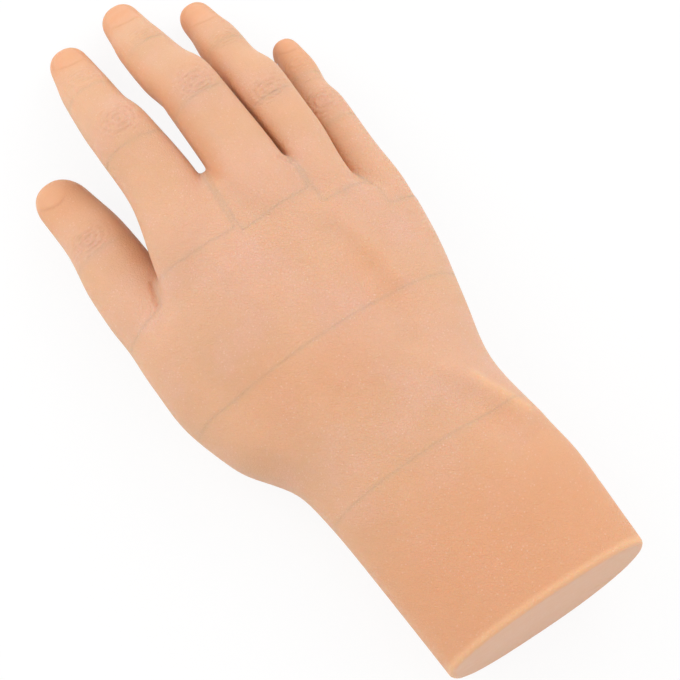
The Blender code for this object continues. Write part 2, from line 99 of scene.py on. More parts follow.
# Fingers: half width, height of the back, depth of the pad and sideways sway round the line of the hinges.
# Also slope of the palm behind the knuckle in degrees, length added past the solid's tip, length moulded with
# the palm, nail's root from the tip, and place of the joint folds along and across.
FINGERS = {
    "index": dict(
        back_slope=9.0, spare=1.6, stub=14.5, nail=18.6, folds=(-0.5, 0.5),
        width=(14.7, 12.7, 10.6, 9.6, 8.4, 7.7, 6.7, 5.6),
        back=(10.5, 11.4, 9.4, 9.0, 7.5, 6.7, 5.8, 5.4),
        pad=(11.0, 11.4, 10.4, 8.8, 8.3, 7.0, 6.5, 5.8),
        sway=(-3.7, -1.2, 0.9, -0.5, -1.3, -1.1, -0.1, 0.8)),
    "middle": dict(
        back_slope=10.0, spare=4.0, stub=14.5, nail=22.0, folds=(-3.7, 1.8),
        width=(10.6, 10.8, 9.9, 9.2, 8.4, 7.6, 6.6, 5.8),
        back=(10.5, 11.5, 9.4, 9.0, 7.6, 6.7, 5.9, 5.5),
        pad=(11.0, 11.5, 10.4, 8.8, 8.4, 7.0, 6.4, 5.6),
        sway=(0.0, 0.0, 0.7, 0.6, -1.0, -1.3, -0.2, 1.0)),
    "ring": dict(
        back_slope=8.0, spare=3.2, stub=9.0, nail=22.4, folds=(-6.0, 1.4),
        width=(9.0, 8.6, 8.5, 8.6, 7.2, 6.8, 5.7, 5.1),
        back=(9.6, 10.8, 8.8, 8.5, 7.3, 7.1, 5.9, 5.2),
        pad=(10.0, 9.8, 9.2, 8.1, 7.8, 6.6, 6.0, 5.2),
        sway=(-1.0, -1.6, 0.0, 0.0, -0.5, -0.1, 0.7, 1.3)),
    "little": dict(
        back_slope=3.0, spare=0.2, stub=3.0, nail=14.0, folds=(0.0, 0.0),
        width=(7.6, 8.0, 7.1, 6.5, 5.6, 5.5, 4.9, 4.1),
        back=(8.6, 8.6, 7.2, 7.0, 6.6, 6.8, 5.9, 5.1),
        pad=(9.4, 9.8, 8.8, 7.2, 7.0, 6.3, 6.1, 5.4),
        sway=(0.0, 0.3, -0.1, -0.3, -0.5, 0.4, 1.2, 1.8)),
}
FINGER_GAP = 1.3
FINGER_ROOT = 20.0
FINGER_FULLNESS = 2.25
TIP_ROUND = 1.25
TIP_BLUNT = 0.9
TIP_BAND = 1.5
TIP_SPARE_WAY = (1.0, 1.0, 0.3)
LINE_STEP = 0.5
LINE_SOFT_STEPS = 12
LINE_SOFT_SPREAD = 5.0
THUMB_BALL = (
    (-14.1, -49.3, 20.0), (-22.1, -37.3, 19.0), (-26.6, -25.3, 18.5), (-30.1, -9.3, 18.5), (-33.1, 6.7, 19.5))
THUMB = dict(
    spare=0.5, stub=-3.0, nail=13.6, folds=(-2.6, -1.2),
    width=(9.5, 11.8, 15.2, 16.6, 15.2, 11.4, 11.0, 9.6, 8.5, 7.5),
    back=(15.0, 17.8, 19.0, 18.8, 16.5, 11.2, 9.4, 8.8, 7.6, 7.2),
    pad=(15.0, 17.5, 17.2, 15.8, 13.8, 11.2, 10.4, 9.6, 8.8, 8.2),
    sway=(0.0, 0.0, 0.0, 0.0, 0.6, 0.5, 0.7, 1.3, 0.2, -1.4))

# Bends of the skin at the joints, along the fingers
BEND_BEHIND = -6.0
BEND_MARGIN = 1.0
KNUCKLE_BEND = {"index": 13.0, "middle": 13.0, "ring": 12.0, "little": 10.0, "thumb": 13.0}
JOINT_HALF = {"middle": 7.0, "tip": 5.5}
JOINT_GRADE = {"little": 0.85, "thumb": 1.2}
TIP_JOINT_GRADE = 0.6
BLEND_HALF = 5.0

# Rounding of the inside corners of the clay, and where along the fingers its last smoothing ends
THUMB_FILLET = 13.0
WEB_FILLET = 4.5
FILLET_GRAIN = 1.0
FILLET_SOFTENING = 6
LUMP_SOFTENING = 4
HAND_SOFTENING = 12
SETTLING = 60
SETTLE_FADE = (4.0, 13.0)
SETTLE_FROM_CUT = 8.0

# Strokes on the hand: a path across and along, half width and height, fading along the fingers
STROKE_FADE = (8.0, 14.0)
CREST = ((27.5, -51.0), (29.0, -55.4), (32.4, -62.6), (34.0, -66.5))
CREST_REACH = 1.2
BACK_STROKES = (
    dict(path=((19.5, 6.0), (20.6, -0.2), (20.8, -5.6), (21.3, -17.3), (18.8, -32.1)), reach=2.8, rise=-1.0),
    dict(path=((21.9, 6.5), (24.0, -1.5), (25.4, -8.0), (25.5, -14.6)), reach=1.9, rise=0.8),
    dict(path=CREST, reach=CREST_REACH, rise=0.55),
    dict(path=((22.0, -46.0), (26.0, -53.0), (30.5, -61.0), (34.5, -69.0)), reach=2.0, rise=0.7),
    dict(path=((25.5, -46.0), (30.0, -54.0), (34.0, -61.0), (38.0, -68.0)), reach=4.0, rise=0.9),
    dict(path=((24.0, -57.5), (27.0, -65.0), (29.0, -74.0)), reach=3.4, rise=-0.7),
    dict(path=((18.0, -58.0), (23.0, -66.0), (28.0, -76.0)), reach=5.0, rise=-0.8),
    dict(path=((-33.0, -42.0), (-29.0, -49.0), (-24.0, -57.0)), reach=4.0, rise=-0.9),
    dict(path=((-14.0, 22.0), (-11.0, 0.0), (-6.0, -32.0)), reach=2.0, rise=0.35),
    dict(path=((9.4, 22.0), (8.0, 0.0), (5.0, -35.0)), reach=2.0, rise=0.4),
    dict(path=((25.0, 16.0), (21.5, 2.0), (15.0, -32.0)), reach=2.0, rise=0.3),
    dict(path=((-2.0, 30.0), (-1.5, 18.0), (-1.0, 4.0)), reach=4.0, rise=-0.6),
    dict(path=((18.0, 24.0), (16.5, 14.0), (15.0, 4.0)), reach=3.5, rise=-0.5),
    dict(path=((-14.8, 28.0), (-14.5, 24.0)), reach=6.0, rise=0.6),
    dict(path=((9.4, 27.0), (9.2, 22.0)), reach=6.0, rise=0.5),
    dict(path=((26.0, 20.0), (25.5, 16.0)), reach=5.0, rise=0.5),
    dict(path=((38.5, 11.0), (37.5, 7.0)), reach=4.5, rise=0.5),
    dict(path=((-38.0, 20.0), (-37.0, 14.0)), reach=5.0, rise=0.6),
    dict(path=((18.0, 33.4), (18.9, 32.2), (20.0, 31.3)), reach=0.6, rise=-0.6),
    dict(path=((33.6, 18.0), (35.0, 16.4), (36.6, 15.1)), reach=0.6, rise=-0.6),
    dict(path=((-31.4, 27.1), (-33.1, 21.9), (-33.6, 19.4)), reach=0.7, rise=-0.6),
)
PALM_STROKES = (
    dict(path=((-28.0, 14.0), (-14.0, 4.0), (-6.0, -14.0), (-6.0, -34.0), (-10.0, -50.0)),
         reach=1.3, rise=-0.9),
    dict(path=((-27.0, 15.0), (-8.0, 8.0), (10.0, -2.0), (28.0, -20.0)), reach=1.1, rise=-0.7),
    dict(path=((45.0, -2.0), (32.0, 5.0), (14.0, 12.0), (-2.0, 26.0)), reach=1.1, rise=-0.7),
    dict(path=((-24.0, -56.0), (4.0, -59.0), (34.0, -55.0)), reach=1.0, rise=-0.6),
    dict(path=((-22.0, -63.0), (4.0, -66.0), (34.0, -62.0)), reach=0.9, rise=-0.4),
)

# Joints and nails: heights, reaches and shares of the finger's half width
MOUND_RISE = 0.5
MOUND_REACH = 5.0
PAD_CREASE = 0.5
PAD_CREASE_REACH = 0.7
PAD_CREASE_PAIR = (-1.2, 1.4)
# Painted shade in the pad creases: how dark
PAD_CREASE_SHADE = 0.5
NAIL_FREE = 0.25
NAIL_SHARE = 0.72
NAIL_ROOT_CURVE = 4.4
NAIL_RISE = 0.1
NAIL_GROOVE = 0.1
NAIL_GROOVE_REACH = 0.5
NAIL_SIDE_GROOVE = 0.12
NAIL_TURN = {"thumb": -0.3}
NAIL_TILT = 0.36

# Colours on screen, 0 to 255
PEACH = (227, 178, 142)
SAND = (222, 174, 138)
ROSE = (228, 180, 155)
AMBER = (227, 163, 119)
# Darker grain of the skin, and painted shade in its fine lines
GRAIN_AND_LINE_SHADE = (206, 152, 116)
# Painted shade in the creases, round the nails and in the troughs of the joint folds
CREASE_SHADE = (192, 122, 86)
CUT_FACE = (222, 176, 146)
# Painted highlight and glow on the wrist's rounded rim and along the ulnar crest
HIGHLIGHT_TINT = (238, 190, 147)
POWDER = (252, 230, 212)
NYLON = ((214, 210, 200), (196, 191, 180))
ALUMINIUM = ((205, 206, 208), (178, 180, 183))
BRIGHT_STEEL = ((196, 196, 198), (160, 161, 164))
PLAIN_STEEL = ((176, 176, 178), (142, 143, 146))

# Where the colours, the painted shade and the painted highlight lie: places across and along with their
# reach, and how strong each is
ROSY_PLACES = (
    (-13.0, 26.0, 10.0), (5.5, 34.0, 9.0), (20.0, 24.0, 8.0), (30.0, 10.0, 9.0), (-11.0, 10.0, 10.0),
    (-36.0, 20.0, 9.0), (30.0, -48.0, 11.0), (10.0, -20.0, 12.0), (38.0, 0.0, 9.0))
# Amber spots: the first is painted shade in the hollow below the ulnar crest, the next two painted shade in
# the valley between the ring and little metacarpals, the last two amber tone on the back of the hand
AMBER_AND_SHADE_PLACES = (
    (28.0, -66.5, 6.0), (21.0, -7.0, 4.5), (21.0, -17.0, 5.0), (-4.0, -30.0, 9.0), (-20.0, -25.0, 9.0))
AMBER_AND_SHADE_SHARE = 0.45
JOINT_BLUSH = 5.0
JOINT_BLUSH_SHARE = 0.4
AMBER_REACH = 31.0
AMBER_FULL = 0.4
AMBER_TIPS = {"thumb": 0.6}
AMBER_WRIST = (-98.0, -48.0)
AMBER_WRIST_SHARE = 0.75
# Painted shade: amber on the side of each finger that faces its neighbour, and on the thumb's side toward the
# index, where the neighbour shades it; which side, from where along the finger it starts, and how strong
SHADED_SIDE = {"middle": -1.0, "ring": -1.0, "little": -1.0, "thumb": 1.0}
SHADED_SIDE_FROM = (5.0, 13.0)
SHADED_SIDE_SHARE = 0.55
# Painted highlight along the ulnar crest, and the band from the cut over which the painted glow on the
# wrist's rim fades
CREST_HIGHLIGHT = 0.65
RIM_HIGHLIGHT_BAND = (1.2, 3.2)

# Folds of the skin round the finger joints, in mm and radians per mm
FOLD_OVAL = 0.75
FOLD_REACH = 7.0
FOLD_RING_RATE = 4.0
FOLD_LINE_RATE = 5.0
FOLD_WANDER = 5.0
FOLD_FADE = 3.0
WEB_FOLDS = dict(place=(-38.0, 20.0), lines=(-0.56, -0.83), reach=9.0, shown=0.25)

# Relief of the skin in mm, patterns of the finishes per metre, and the light that enters the skin
SKIN_LINES = 0.06
SKIN_GRAIN = 0.03
JOINT_FOLDS = 0.12
SKIN_LINE_RATE = 1050.0
SKIN_LINE_WANDER = 0.8 * MM
SPECK_RATE = 1050.0
CLOUD_RATE = 34.0
PATCH_RATE = 75.0
MOTTLE_RATE = 420.0
DRIFT_RATE = 500.0
GRAIN_RATE = 2400.0
NYLON_RATE = 180.0
BRUSH_RATE = 2200.0
BRUSH_STRETCH = (1.0, 0.06, 1.0)
PAPER_RATE = 300.0
GLOW = 0.55
GLOW_COLOUR = (1.0, 0.45, 0.25)
GLOW_DEPTH = 2.6 * MM

# How strongly each colour, painted shade and painted highlight covers the skin where it lies
ROSY_COVER = 0.5
AMBER_COVER = 0.92
GRAIN_COVER = 0.16
HIGHLIGHT_COVER = 0.8
CREASE_SHADE_COVER = 0.22
FOLD_SHADE_COVER = 0.12
SPECK_COVER = 0.22

# Floor: size in metres, drop in mm. Lamps: place right, up and toward the camera and size in metres, watts
FLOOR_SIZE = 3.0
FLOOR_DROP = -0.1
FLOOR_WHITE = 0.88
ROOM_LIGHT = 0.905
LAMPS = (("window", (0.5, 0.75, 0.45), 0.8, 2.4), ("far wall", (-0.85, 0.45, 0.4), 0.8, 2.7))

# Viewpoint: a long lens above the wrist end, turned so that the fingers point up and left, in mm and degrees
CAMERA_TARGET = (5.14, -15.40, 21.01)
CAMERA_DISTANCE = 811.75
CAMERA_ELEVATION = 74.0
CAMERA_SIDE = 8.0
CAMERA_ROLL = 35.0
CAMERA_LENS = 148.5
CAMERA_SENSOR = 36.0


def deselect():
    bpy.ops.object.select_all(action="DESELECT")


def activate(thing):
    deselect()
    thing.select_set(True)
    bpy.context.view_layer.objects.active = thing


def flowing(places, values, at):
    """Smooth curve through a row of sizes, without overshoot."""
    places = np.asarray(places, float)
    values = np.asarray(values, float)
    step = np.diff(places)
    rise = np.diff(values) / step
    slope = np.zeros(len(values))
    turning = rise[:-1] * rise[1:] > 0
    slope[1:-1][turning] = 2 * rise[:-1][turning] * rise[1:][turning] / (rise[:-1] + rise[1:])[turning]
    slope[0], slope[-1] = rise[0], rise[-1]
    at = np.clip(at, places[0], places[-1])
    i = np.clip(np.searchsorted(places, at) - 1, 0, len(step) - 1)
    t = (at - places[i]) / step[i]
    low, high = values[i], values[i + 1]
    ease = t * t * (3 - 2 * t)
    start = t * (1 - t) ** 2
    stop = t * t * (t - 1)
    return low + (high - low) * ease + step[i] * (slope[i] * start + slope[i + 1] * stop)


def smooth_step(low, high, value):
    t = np.clip((value - low) / (high - low), 0.0, 1.0)
    return t * t * (3 - 2 * t)


def swelling(away, reach):
    return np.exp(-0.5 * (away / reach) ** 2)


def signed_power(value, power):
    return np.sign(value) * np.abs(value) ** power


class Digit:
    """Centre line of a finger or the thumb, measured from its knuckle, with its section sizes along it."""

    def __init__(self, name, spine, behind, sizes, across):
        self.name = name
        self.stub = sizes["stub"]
        self.nail = sizes["nail"]
        self.folds = sizes["folds"]
        self.bend = KNUCKLE_BEND[name]
        self.grade = JOINT_GRADE.get(name, 1.0)
        self.neighbours = []
        spine = np.array(spine, float)
        reach = np.concatenate(([0.0], np.cumsum(np.linalg.norm(np.diff(spine, axis=0), axis=1))))
        reach -= reach[behind]
        self.hinges = reach[behind:-1]
        self.length = reach[-1]
        halfway = (reach[behind:-1] + reach[behind + 1:]) / 2
        stations = np.sort(np.concatenate((reach, halfway)))
        self.along = np.arange(reach[0], reach[-1] + LINE_STEP / 2, LINE_STEP)
        line = np.stack([np.interp(self.along, reach, spine[:, i]) for i in range(3)], axis=1)
        steps = np.arange(1, LINE_SOFT_STEPS + 1)
        kernel = swelling(np.arange(-LINE_SOFT_STEPS, LINE_SOFT_STEPS + 1), LINE_SOFT_SPREAD)
        kernel /= kernel.sum()
        head = line[0] + (line[0] - line[1]) * steps[::-1, None]
        tail = line[-1] + (line[-1] - line[-2]) * steps[:, None]
        padded = np.concatenate((head, line, tail))
        self.line = np.stack([np.convolve(padded[:, i], kernel, "valid") for i in range(3)], axis=1)
        self.ahead = np.gradient(self.line, axis=0)
        self.ahead /= np.linalg.norm(self.ahead, axis=1, keepdims=True)
        across = np.array(across, float)
        self.across = across - (self.ahead @ across)[:, None] * self.ahead
        self.across /= np.linalg.norm(self.across, axis=1, keepdims=True)
        self.up = np.cross(self.across, self.ahead)
        self.width = flowing(stations, sizes["width"], self.along)
        self.back = flowing(stations, sizes["back"], self.along)
        self.pad = flowing(stations, sizes["pad"], self.along)
        self.line += self.across * flowing(stations, sizes["sway"], self.along)[:, None]

    def at(self, values, along):
        if values.ndim == 1:
            return np.interp(along, self.along, values)
        return np.stack([np.interp(along, self.along, values[:, i]) for i in range(3)], axis=-1)


def joint_place(name):
    joint = next(j for j in frame["joints"] if j["name"] == name)
    return np.array(joint["pos_m"]) / MM, np.array(joint["axis"])


def fingertip(name, hinge, spare):
    """Furthest point of the finger's end from its last hinge, and a little more, in mm."""
    corners = np.array([v.co for v in frame["nodes"][name + "_tip_skin"].data.vertices]) / MM
    reach = np.linalg.norm(corners - hinge, axis=1) * (corners[:, 1] > hinge[1])
    tip = corners[reach > reach.max() - TIP_BAND].mean(axis=0)
    ahead = (tip - hinge) / np.linalg.norm(tip - hinge)
    return hinge + ahead * reach.max() + spare * ahead * TIP_SPARE_WAY


def make_digits():
    digits = []
    for name, sizes in FINGERS.items():
        knuckle, axis = joint_place(name + "_knuckle")
        middle, _ = joint_place(name + "_middle")
        end, _ = joint_place(name + "_tip")
        ahead = np.cross(axis, (0.0, 0.0, 1.0))
        ahead /= np.linalg.norm(ahead)
        if ahead[1] < 0:
            ahead = -ahead
        slope = math.radians(sizes["back_slope"])
        root = knuckle - FINGER_ROOT * (ahead * math.cos(slope) + np.array((0, 0, math.sin(slope))))
        spine = [root, knuckle, middle, end, fingertip(name, end, sizes["spare"])]
        digits.append(Digit(name, spine, 1, sizes, -axis))
    for left, right in zip(digits, digits[1:]):
        left.neighbours.append(right)
        right.neighbours.append(left)
    knuckle, axis = joint_place("thumb_knuckle")
    end, _ = joint_place("thumb_tip")
    spine = [*THUMB_BALL, knuckle, end, fingertip("thumb", end, THUMB["spare"])]
    digits.append(Digit("thumb", spine, len(THUMB_BALL), THUMB, -axis))
    return digits


def ball(name):
    """Ball of clay to be drawn out, with its poles along Z."""
    deselect()
    bpy.ops.mesh.primitive_uv_sphere_add(segments=BLANK_SIDES, ring_count=BLANK_RINGS, radius=1.0)
    blank = bpy.context.object
    blank.name = name
    points = np.array([v.co for v in blank.data.vertices])
    share = np.arccos(np.clip(points[:, 2], -1, 1)) / math.pi
    turn = np.arctan2(points[:, 1], points[:, 0])
    return blank, 1.0 - share, turn


def put(blank, points):
    blank.data.vertices.foreach_set("co", (np.asarray(points) * MM).ravel())
    blank.data.update()


def drawn_out(share, end_share):
    """Share along the straight run, turn round the end and closing of the start, for places along a ball."""
    body = np.clip((share - START_SHARE) / (1 - end_share - START_SHARE), 0, 1)
    bend = np.clip((share - (1 - end_share)) / end_share, 0, 1) * math.pi / 2
    return body, bend, np.clip(share / START_SHARE, 0, 1)


def digit_blank(digit, stop=None):
    """Finger drawn out of a ball, whole or as a short stub."""
    blank, share, turn = ball(digit.name + "_blank")
    tip_round = digit.width[-1] * TIP_ROUND
    start = digit.along[0]
    stop = digit.length if stop is None else stop
    body, bend, closing = drawn_out(share, TIP_SHARE)
    along = start + body * (stop - tip_round - start) + tip_round * np.sin(bend)
    fall = np.cos(bend) ** TIP_BLUNT * closing
    power = 2.0 / FINGER_FULLNESS
    x = digit.at(digit.width, along) * signed_power(np.cos(turn), power) * fall
    high = np.where(np.sin(turn) > 0, digit.at(digit.back, along), digit.at(digit.pad, along))
    z = high * signed_power(np.sin(turn), power) * fall
    points = digit.at(digit.line, along) + digit.at(digit.across, along) * x[:, None]
    points += digit.at(digit.up, along) * z[:, None]
    for neighbour in digit.neighbours:
        points = press_flat(points, digit, neighbour)
    put(blank, points)
    return blank


def level_with(digit, points):
    """Point of the finger's line level with each given point along the hand, and the half width there."""
    along = np.interp(points[:, 1], digit.line[:, 1], digit.along)
    return digit.at(digit.line, along), digit.at(digit.width, along)


def past_gap(points, digit, neighbour):
    """Direction to the neighbouring finger, and how far each point beside it is past the gap's middle."""
    own, own_width = level_with(digit, points)
    other, other_width = level_with(neighbour, points)
    toward = (other - own) * (1.0, 0.0, 1.0)
    apart = np.linalg.norm(toward, axis=1)
    toward /= apart[:, None]
    past = np.einsum("ij,ij->i", points - own, toward) - apart * own_width / (own_width + other_width)
    level = (points[:, 1] > neighbour.line[0, 1]) & (points[:, 1] < neighbour.line[-1, 1])
    return toward, np.where(level, past, -np.inf)


def press_flat(points, digit, neighbour):
    """Flatten the side of a finger that would touch its neighbour, leaving a thin gap."""
    toward, past = past_gap(points, digit, neighbour)
    return points - toward * np.clip(past + FINGER_GAP / 2, 0.0, None)[:, None]


def palm_blank():
    """Wrist and palm drawn out of a ball through their sections, rounded in front toward the webs."""
    blank, share, turn = ball("palm_blank")
    last = PALM_SECTIONS[-1]["along"]
    start = WRIST_CUT - WRIST_SPARE
    body, bend, closing = drawn_out(share, FRONT_SHARE)
    along = start + body * (last - start)
    places = [section["along"] for section in PALM_SECTIONS]
    size = {}
    for key in PALM_SECTIONS[0]:
        size[key] = flowing(places, [section[key] for section in PALM_SECTIONS], along)
    top = np.sin(turn) > 0
    radial = np.cos(turn) < 0
    back = np.where(radial, FLANK_FULLNESS, BACK_FULLNESS)
    power = 2.0 / np.where(top, back, np.where(radial, HEEL_FULLNESS, PALM_FULLNESS))
    half = (size["ulnar"] - size["radial"]) / 2
    x = signed_power(np.cos(turn), power)
    tall = np.where(top, size["high"] - size["belt"], size["belt"] - size["low"])
    z = signed_power(np.sin(turn), power) * tall
    fall = np.cos(bend) ** FRONT_BLUNT
    narrow = 1 - FRONT_NARROWING + FRONT_NARROWING * fall
    drop = size["fall"] * np.clip(x, 0, 1) ** 2
    across = (size["ulnar"] + size["radial"]) / 2 + half * x * closing * narrow
    height = size["belt"] + z * fall * closing - drop - FRONT_DROP * np.sin(bend)
    front = flowing([p[0] for p in WEB_LINE], [p[1] for p in WEB_LINE], across)
    put(blank, np.stack((across, along + (front - last) * np.sin(bend), height), axis=1))
    return blank


def press_together(blanks, name, grain, softening):
    """Join lumps of clay into one closed skin and smooth it."""
    deselect()
    for blank in blanks:
        blank.select_set(True)
    bpy.context.view_layer.objects.active = blanks[0]
    bpy.ops.object.join()
    lump = bpy.context.object
    lump.name = name
    bpy.ops.object.mode_set(mode="EDIT")
    bpy.ops.mesh.select_all(action="SELECT")
    bpy.ops.mesh.normals_make_consistent(inside=False)
    bpy.ops.object.mode_set(mode="OBJECT")
    reskin(lump, grain, softening)
    return lump


def reskin(lump, grain, softening):
    activate(lump)
    skin = lump.modifiers.new("skin", "REMESH")
    skin.mode = "VOXEL"
    skin.voxel_size = grain * MM
    bpy.ops.object.modifier_apply(modifier=skin.name)
    soften = lump.modifiers.new("soften", "SMOOTH")
    soften.factor = 0.5
    soften.iterations = softening
    bpy.ops.object.modifier_apply(modifier=soften.name)


def swell(lump, amount):
    activate(lump)
    push = lump.modifiers.new("push", "DISPLACE")
    push.strength = amount * MM
    push.mid_level = 0.0
    push.direction = "NORMAL"
    bpy.ops.object.modifier_apply(modifier=push.name)


def fill_hollows(lump, radius):
    """Swell and shrink again, which rounds the inside corners."""
    for amount in (radius, -radius):
        swell(lump, amount)
        reskin(lump, FILLET_GRAIN, FILLET_SOFTENING)


def mould_hand(digits):
    """Palm and ball of the thumb, then short stubs of the fingers, then the whole fingers."""
    thumb = digits[-1]
    lumps = [palm_blank(), digit_blank(thumb, thumb.stub)]
    palm = press_together(lumps, "palm_lump", FILLET_GRAIN, LUMP_SOFTENING)
    fill_hollows(palm, THUMB_FILLET)
    stubs = [digit_blank(digit, digit.stub) for digit in digits]
    palm = press_together([palm] + stubs, "palm_lump", FILLET_GRAIN, LUMP_SOFTENING)
    fill_hollows(palm, WEB_FILLET)
    fingers = [digit_blank(digit) for digit in digits]
    return press_together([palm] + fingers, "silicone_hand", CLAY_GRAIN, HAND_SOFTENING)


def read_points(thing):
    points = np.empty(len(thing.data.vertices) * 3)
    thing.data.vertices.foreach_get("co", points)
    return points.reshape(-1, 3) / MM


def read_normals(thing):
    normals = np.empty(len(thing.data.vertices) * 3)
    thing.data.vertices.foreach_get("normal", normals)
    return normals.reshape(-1, 3)


def trim_wrist(hand):
    """Cut the wrist off square, round its edge and close it with a flat face."""
    activate(hand)
    cut = Vector((0.0, WRIST_CUT * MM, 0.0))
    bpy.ops.object.mode_set(mode="EDIT")
    bpy.ops.mesh.select_all(action="SELECT")
    bpy.ops.mesh.bisect(plane_co=cut, plane_no=(0.0, 1.0, 0.0), clear_inner=True)
    bpy.ops.object.mode_set(mode="OBJECT")
    points = read_points(hand)
    inward = read_normals(hand) * (-1.0, 0.0, -1.0)
    inward /= np.linalg.norm(inward, axis=1, keepdims=True) + 1e-9
    near = np.clip(1.0 - (points[:, 1] - WRIST_CUT) / RIM_ROUND, 0.0, 1.0)
    put(hand, points + inward * (RIM_ROUND * (1.0 - np.sqrt(1.0 - near ** 2)))[:, None])
    bpy.ops.object.mode_set(mode="EDIT")
    bpy.ops.mesh.select_all(action="DESELECT")
    bpy.ops.mesh.select_mode(type="EDGE")
    bpy.ops.mesh.select_non_manifold()
    stump = PALM_SECTIONS[0]
    across = (stump["radial"] + stump["ulnar"]) / 2
    height = (stump["low"] + stump["high"]) / 2
    middle = Vector((across, WRIST_CUT, height)) * MM
    size = 1.0
    for ring in CUT_RINGS:
        bpy.ops.mesh.extrude_edges_move()
        bpy.ops.transform.resize(value=(ring / size, 1.0, ring / size), center_override=middle)
        size = ring
    bpy.ops.mesh.edge_face_add()
    bpy.ops.object.mode_set(mode="OBJECT")


class Skin:
    """Where each point of the hand's surface lies: its finger, and its place along and across it, in mm."""

    def __init__(self, digits, points):
        self.points = points
        nearest = np.full(len(points), np.inf)
        self.owner = np.zeros(len(points), int)
        self.along = np.zeros(len(points))
        self.across = np.zeros(len(points))
        self.above = np.zeros(len(points))
        for number, digit in enumerate(digits):
            along, across, above = finger_place(digit, points)
            width = digit.at(digit.width, along)
            height = np.where(above > 0, digit.at(digit.back, along), digit.at(digit.pad, along))
            behind = np.clip(digit.line[0, 1] - points[:, 1], 0.0, None)
            reach = np.hypot(across / width, above / height) + behind
            for neighbour in digit.neighbours:
                reach[past_gap(points, digit, neighbour)[1] > 0] += AWAY
            mine = reach < nearest
            nearest[mine] = reach[mine]
            self.owner[mine] = number
            self.along[mine] = along[mine]
            self.across[mine] = (across / width)[mine]
            self.above[mine] = (above / height)[mine]


def finger_place(digit, points):
    """Place of each point along the finger's line, and across and above it."""
    along = np.interp(points[:, 1], digit.line[:, 1], digit.along)
    for _ in range(6):
        offset = points - digit.at(digit.line, along)
        step = np.einsum("ij,ij->i", offset, digit.at(digit.ahead, along))
        along = np.clip(along + step, digit.along[0], digit.along[-1])
    offset = points - digit.at(digit.line, along)
    across = np.einsum("ij,ij->i", offset, digit.at(digit.across, along))
    above = np.einsum("ij,ij->i", offset, digit.at(digit.up, along))
    return along, across, above


def settle(hand, weights, rounds):
    """Smooth the clay where the weights say so."""
    activate(hand)
    group = hand.vertex_groups.new(name="settle")
    levels = np.round(np.clip(weights, 0.0, 1.0) * 10) / 10
    for level in np.unique(levels[levels > 0]):
        group.add(np.flatnonzero(levels == level).tolist(), float(level), "REPLACE")
    soften = hand.modifiers.new("settle", "SMOOTH")
    soften.factor = 0.5
    soften.iterations = rounds
    soften.vertex_group = group.name
    bpy.ops.object.modifier_apply(modifier=soften.name)
    hand.vertex_groups.clear()


def beside(points, path):
    """Distance of each point from a path across the hand, seen from above."""
    path = np.array(path, float)
    nearest = np.full(len(points), np.inf)
    for start, stop in zip(path, path[1:]):
        run = stop - start
        share = np.clip((points[:, :2] - start) @ run / (run @ run), 0.0, 1.0)
        away = np.linalg.norm(points[:, :2] - start - share[:, None] * run, axis=1)
        nearest = np.minimum(nearest, away)
    return nearest


def nail_edge(digit, skin, mine):
    """How far each point of a fingertip lies inside the nail's outline, and how clearly its root shows."""
    along = skin.along[mine]
    side = np.abs(skin.across[mine] - NAIL_TURN.get(digit.name, 0.0)) / NAIL_SHARE
    half = digit.at(digit.width, along)
    tilt = NAIL_TILT * skin.across[mine] * half
    past_root = along - (digit.length - digit.nail + NAIL_ROOT_CURVE * side ** 2 - tilt)
    to_end = digit.length - NAIL_FREE * digit.nail - NAIL_ROOT_CURVE * side ** 2 - along
    to_side = (1.0 - side) * half * NAIL_SHARE
    root_shown = swelling(past_root, 1.0) * (1.0 - smooth_step(0.35, 0.95, side))
    return np.minimum(np.minimum(past_root, to_end), to_side), root_shown


def model_details(hand, digits, skin):
    """Push the skin out and in for knuckles, tendons, creases and nails. Returns the painted shade of the pad
    creases and nail grooves, and the nails.
    """
    points = skin.points
    normals = read_normals(hand)
    push = np.zeros(len(points))
    groove = np.zeros(len(points))
    nail = np.zeros(len(points))
    on_back = smooth_step(0.1, 0.6, normals[:, 2])
    on_palm = smooth_step(0.1, 0.6, -normals[:, 2])
    hand_share = 1.0 - smooth_step(*STROKE_FADE, skin.along)
    for strokes, face in ((BACK_STROKES, on_back), (PALM_STROKES, on_palm)):
        for stroke in strokes:
            near = swelling(beside(points, stroke["path"]), stroke["reach"])
            push += stroke["rise"] * near * face * hand_share
    for number, digit in enumerate(digits):
        mine = np.flatnonzero(skin.owner == number)
        along = skin.along[mine]
        above = skin.above[mine]
        back = smooth_step(0.2, 0.8, above)
        pad = smooth_step(0.0, 0.5, -above)
        for order, hinge in enumerate(digit.hinges[1:]):
            size = digit.grade * (TIP_JOINT_GRADE if order else 1.0)
            push[mine] += MOUND_RISE * size * swelling(along - hinge, MOUND_REACH * digit.grade) * back
            shifts = (0.0,) if order else PAD_CREASE_PAIR
            for shift in shifts:
                crease = swelling(along - hinge - shift, PAD_CREASE_REACH) * pad
                push[mine] -= PAD_CREASE * crease
                # painted shade in the pad crease
                groove[mine] = np.maximum(groove[mine], PAD_CREASE_SHADE * crease)
        inside, root_shown = nail_edge(digit, skin, mine)
        upper = smooth_step(0.05, 0.35, above)
        strength = NAIL_SIDE_GROOVE + (1.0 - NAIL_SIDE_GROOVE) * root_shown
        rim = swelling(inside, NAIL_GROOVE_REACH) * upper * strength
        nail[mine] = smooth_step(0.0, 0.8, inside) * upper
        push[mine] += NAIL_RISE * nail[mine] - NAIL_GROOVE * rim
        # painted shade in the groove round the nail
        groove[mine] = np.maximum(groove[mine], rim)
    put(hand, points + normals * push[:, None])
    return groove, nail


